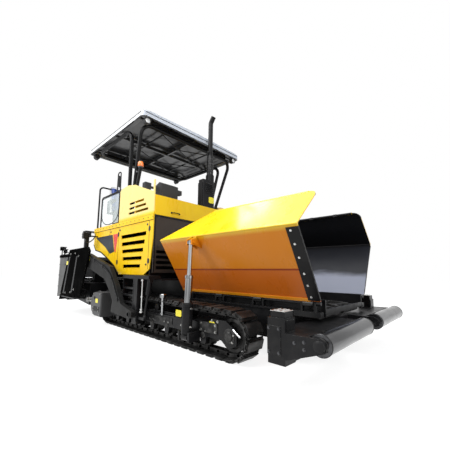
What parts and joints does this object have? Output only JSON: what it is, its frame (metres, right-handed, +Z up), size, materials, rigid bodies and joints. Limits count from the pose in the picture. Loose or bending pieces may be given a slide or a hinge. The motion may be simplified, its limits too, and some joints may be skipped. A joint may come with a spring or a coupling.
{
  "type": "asphalt paver",
  "caption": "Tracked asphalt paver with raised folding hopper wings, push rollers, canopy, tow arms and an extendable screed.",
  "frame": {"origin": "middle of the machine's footprint, on the ground", "axes": "+X forward towards the push rollers, +Y to the left, +Z up"},
  "size_m": [7.15, 3.1, 4.4812],
  "materials": {
    "yellow_paint": "satin paint",
    "black_paint": "satin paint",
    "grey_paint": "satin paint",
    "light_paint": "satin paint",
    "track_rubber": "worn rubber and steel",
    "dark_steel": "oiled steel",
    "chrome_rod": "polished",
    "dark_plastic": "matte",
    "seat_vinyl": "matte vinyl",
    "clear_panel": "clear"
  },
  "bodies": {
    "tractor": {"canopy_hoops": "black_paint", "canopy_roof": "light_paint", "chassis": "black_paint", "conveyors": "dark_steel", "deck": "black_paint", "engine_block": "dark_steel", "exhaust": "black_paint", "front_grille": "black_paint", "front_hood": "yellow_paint", "handrails": "black_paint", "seat_pads": "seat_vinyl", "side_body_left": "yellow_paint", "side_body_right": "yellow_paint", "stations": "black_paint", "tow_posts": "black_paint", "track_frames": "black_paint", "track_left": "track_rubber", "track_right": "track_rubber", "track_wheels": "dark_steel", "wind_glass": "clear_panel", "wing_hinges": "black_paint", "work_lamps": "dark_plastic"},
    "wing_right": {"hopper_wing_right": "yellow_paint"},
    "wing_left": {"hopper_wing_left": "yellow_paint"},
    "wing_barrel_right": {"wing_barrel_right": "black_paint"},
    "wing_barrel_left": {"wing_barrel_left": "black_paint"},
    "wing_stage_right": {"wing_stage_right": "chrome_rod"},
    "wing_stage_left": {"wing_stage_left": "chrome_rod"},
    "wing_rod_right": {"wing_rod_right": "chrome_rod"},
    "wing_rod_left": {"wing_rod_left": "chrome_rod"},
    "push_beam": {"push_beam": "black_paint"},
    "push_roller_right": {"push_roller_right": "dark_steel"},
    "push_roller_left": {"push_roller_left": "dark_steel"},
    "auger_right": {"auger_right": "dark_steel"},
    "auger_left": {"auger_left": "dark_steel"},
    "hood_lid_right": {"hood_lid_right": "yellow_paint"},
    "hood_lid_left": {"hood_lid_left": "yellow_paint"},
    "screed": {"tow_arms": "grey_paint", "screed_frame": "black_paint", "screed_guides": "chrome_rod"},
    "extension_right": {"screed_extension_right": "light_paint", "end_plate_right": "black_paint"},
    "extension_left": {"screed_extension_left": "light_paint", "end_plate_left": "black_paint"},
    "walkway_right": {"walkway_right": "light_paint"},
    "walkway_left": {"walkway_left": "light_paint"},
    "lift_barrels": {"lift_barrels": "black_paint"},
    "lift_rods": {"lift_rods": "chrome_rod"}
  },
  "joints": [
    {"name": "wing_right_swing", "type": "hinge", "parent": "tractor", "child": "wing_right", "pos_m": [1.68, -0.74, 0.71], "axis": [1, 0, 0], "range_deg": [0, 45]},
    {"name": "wing_cylinder_right_tilt", "type": "hinge", "parent": "tractor", "child": "wing_barrel_right", "pos_m": [1.68, -1.35, 0.21], "axis": [1, 0, 0], "range_deg": [0, 28.63]},
    {"name": "wing_stage_right_stroke", "type": "slide", "parent": "wing_barrel_right", "child": "wing_stage_right", "axis": [0, 0.0325, 0.9995], "range_m": [-0.28013, 0]},
    {"name": "wing_rod_right_stroke", "type": "slide", "parent": "wing_stage_right", "child": "wing_rod_right", "axis": [0, 0.0325, 0.9995], "range_m": [-0.26381, 0]},
    {"name": "wing_left_swing", "type": "hinge", "parent": "tractor", "child": "wing_left", "pos_m": [1.68, 0.74, 0.71], "axis": [-1, 0, 0], "range_deg": [0, 45]},
    {"name": "wing_cylinder_left_tilt", "type": "hinge", "parent": "tractor", "child": "wing_barrel_left", "pos_m": [1.68, 1.35, 0.21], "axis": [-1, 0, 0], "range_deg": [0, 28.63]},
    {"name": "wing_stage_left_stroke", "type": "slide", "parent": "wing_barrel_left", "child": "wing_stage_left", "axis": [0, -0.0325, 0.9995], "range_m": [-0.28013, 0]},
    {"name": "wing_rod_left_stroke", "type": "slide", "parent": "wing_stage_left", "child": "wing_rod_left", "axis": [0, -0.0325, 0.9995], "range_m": [-0.26381, 0]},
    {"name": "push_beam_swing", "type": "hinge", "parent": "tractor", "child": "push_beam", "pos_m": [3.07, 0, 0.3], "axis": [0, 0, 1], "range_deg": [-5, 5]},
    {"name": "push_roller_right_turn", "type": "hinge", "parent": "push_beam", "child": "push_roller_right", "pos_m": [3.48, -0.805, 0.45], "axis": [0, 1, 0], "continuous": true},
    {"name": "auger_right_turn", "type": "hinge", "parent": "tractor", "child": "auger_right", "pos_m": [-1.68, -0.76, 0.42], "axis": [0, 1, 0], "continuous": true},
    {"name": "hood_lid_right_open", "type": "hinge", "parent": "tractor", "child": "hood_lid_right", "pos_m": [-0.09, -0.7, 2.38], "axis": [0, -1, 0], "range_deg": [0, 60]},
    {"name": "push_roller_left_turn", "type": "hinge", "parent": "push_beam", "child": "push_roller_left", "pos_m": [3.48, 0.805, 0.45], "axis": [0, 1, 0], "continuous": true},
    {"name": "auger_left_turn", "type": "hinge", "parent": "tractor", "child": "auger_left", "pos_m": [-1.68, 0.76, 0.42], "axis": [0, 1, 0], "continuous": true},
    {"name": "hood_lid_left_open", "type": "hinge", "parent": "tractor", "child": "hood_lid_left", "pos_m": [-0.09, 0.7, 2.38], "axis": [0, -1, 0], "range_deg": [0, 60]},
    {"name": "screed_lower", "type": "hinge", "parent": "tractor", "child": "screed", "pos_m": [0.4, 0, 0.36], "axis": [0, -1, 0], "range_deg": [0, 5.4]},
    {"name": "extension_right_slide", "type": "slide", "parent": "screed", "child": "extension_right", "axis": [0, -1, 0], "range_m": [0, 1]},
    {"name": "walkway_right_fold", "type": "hinge", "parent": "extension_right", "child": "walkway_right", "pos_m": [-3.52, -0.76, 0.44], "axis": [0, -1, 0], "range_deg": [0, 84]},
    {"name": "extension_left_slide", "type": "slide", "parent": "screed", "child": "extension_left", "axis": [0, 1, 0], "range_m": [0, 1]},
    {"name": "walkway_left_fold", "type": "hinge", "parent": "extension_left", "child": "walkway_left", "pos_m": [-3.52, 0.76, 0.44], "axis": [0, -1, 0], "range_deg": [0, 84]},
    {"name": "screed_lift_tilt", "type": "hinge", "parent": "tractor", "child": "lift_barrels", "pos_m": [-2.11, 0, 1.88], "axis": [0, 1, 0], "range_deg": [0, 5.79]},
    {"name": "screed_lift_stroke", "type": "slide", "parent": "lift_barrels", "child": "lift_rods", "axis": [0, 0, -1], "range_m": [0, 0.24457]}
  ],
  "couplings": [
    {"joint": "wing_cylinder_right_tilt", "follows": "wing_right_swing", "ratio": 0.63615},
    {"joint": "wing_stage_right_stroke", "follows": "wing_right_swing", "m_per_rad": -0.35667},
    {"joint": "wing_rod_right_stroke", "follows": "wing_right_swing", "m_per_rad": -0.3359},
    {"joint": "wing_cylinder_left_tilt", "follows": "wing_left_swing", "ratio": 0.63615},
    {"joint": "wing_stage_left_stroke", "follows": "wing_left_swing", "m_per_rad": -0.35667},
    {"joint": "wing_rod_left_stroke", "follows": "wing_left_swing", "m_per_rad": -0.3359},
    {"joint": "screed_lift_tilt", "follows": "screed_lower", "ratio": 1.0721},
    {"joint": "screed_lift_stroke", "follows": "screed_lower", "m_per_rad": 2.595}
  ]
}
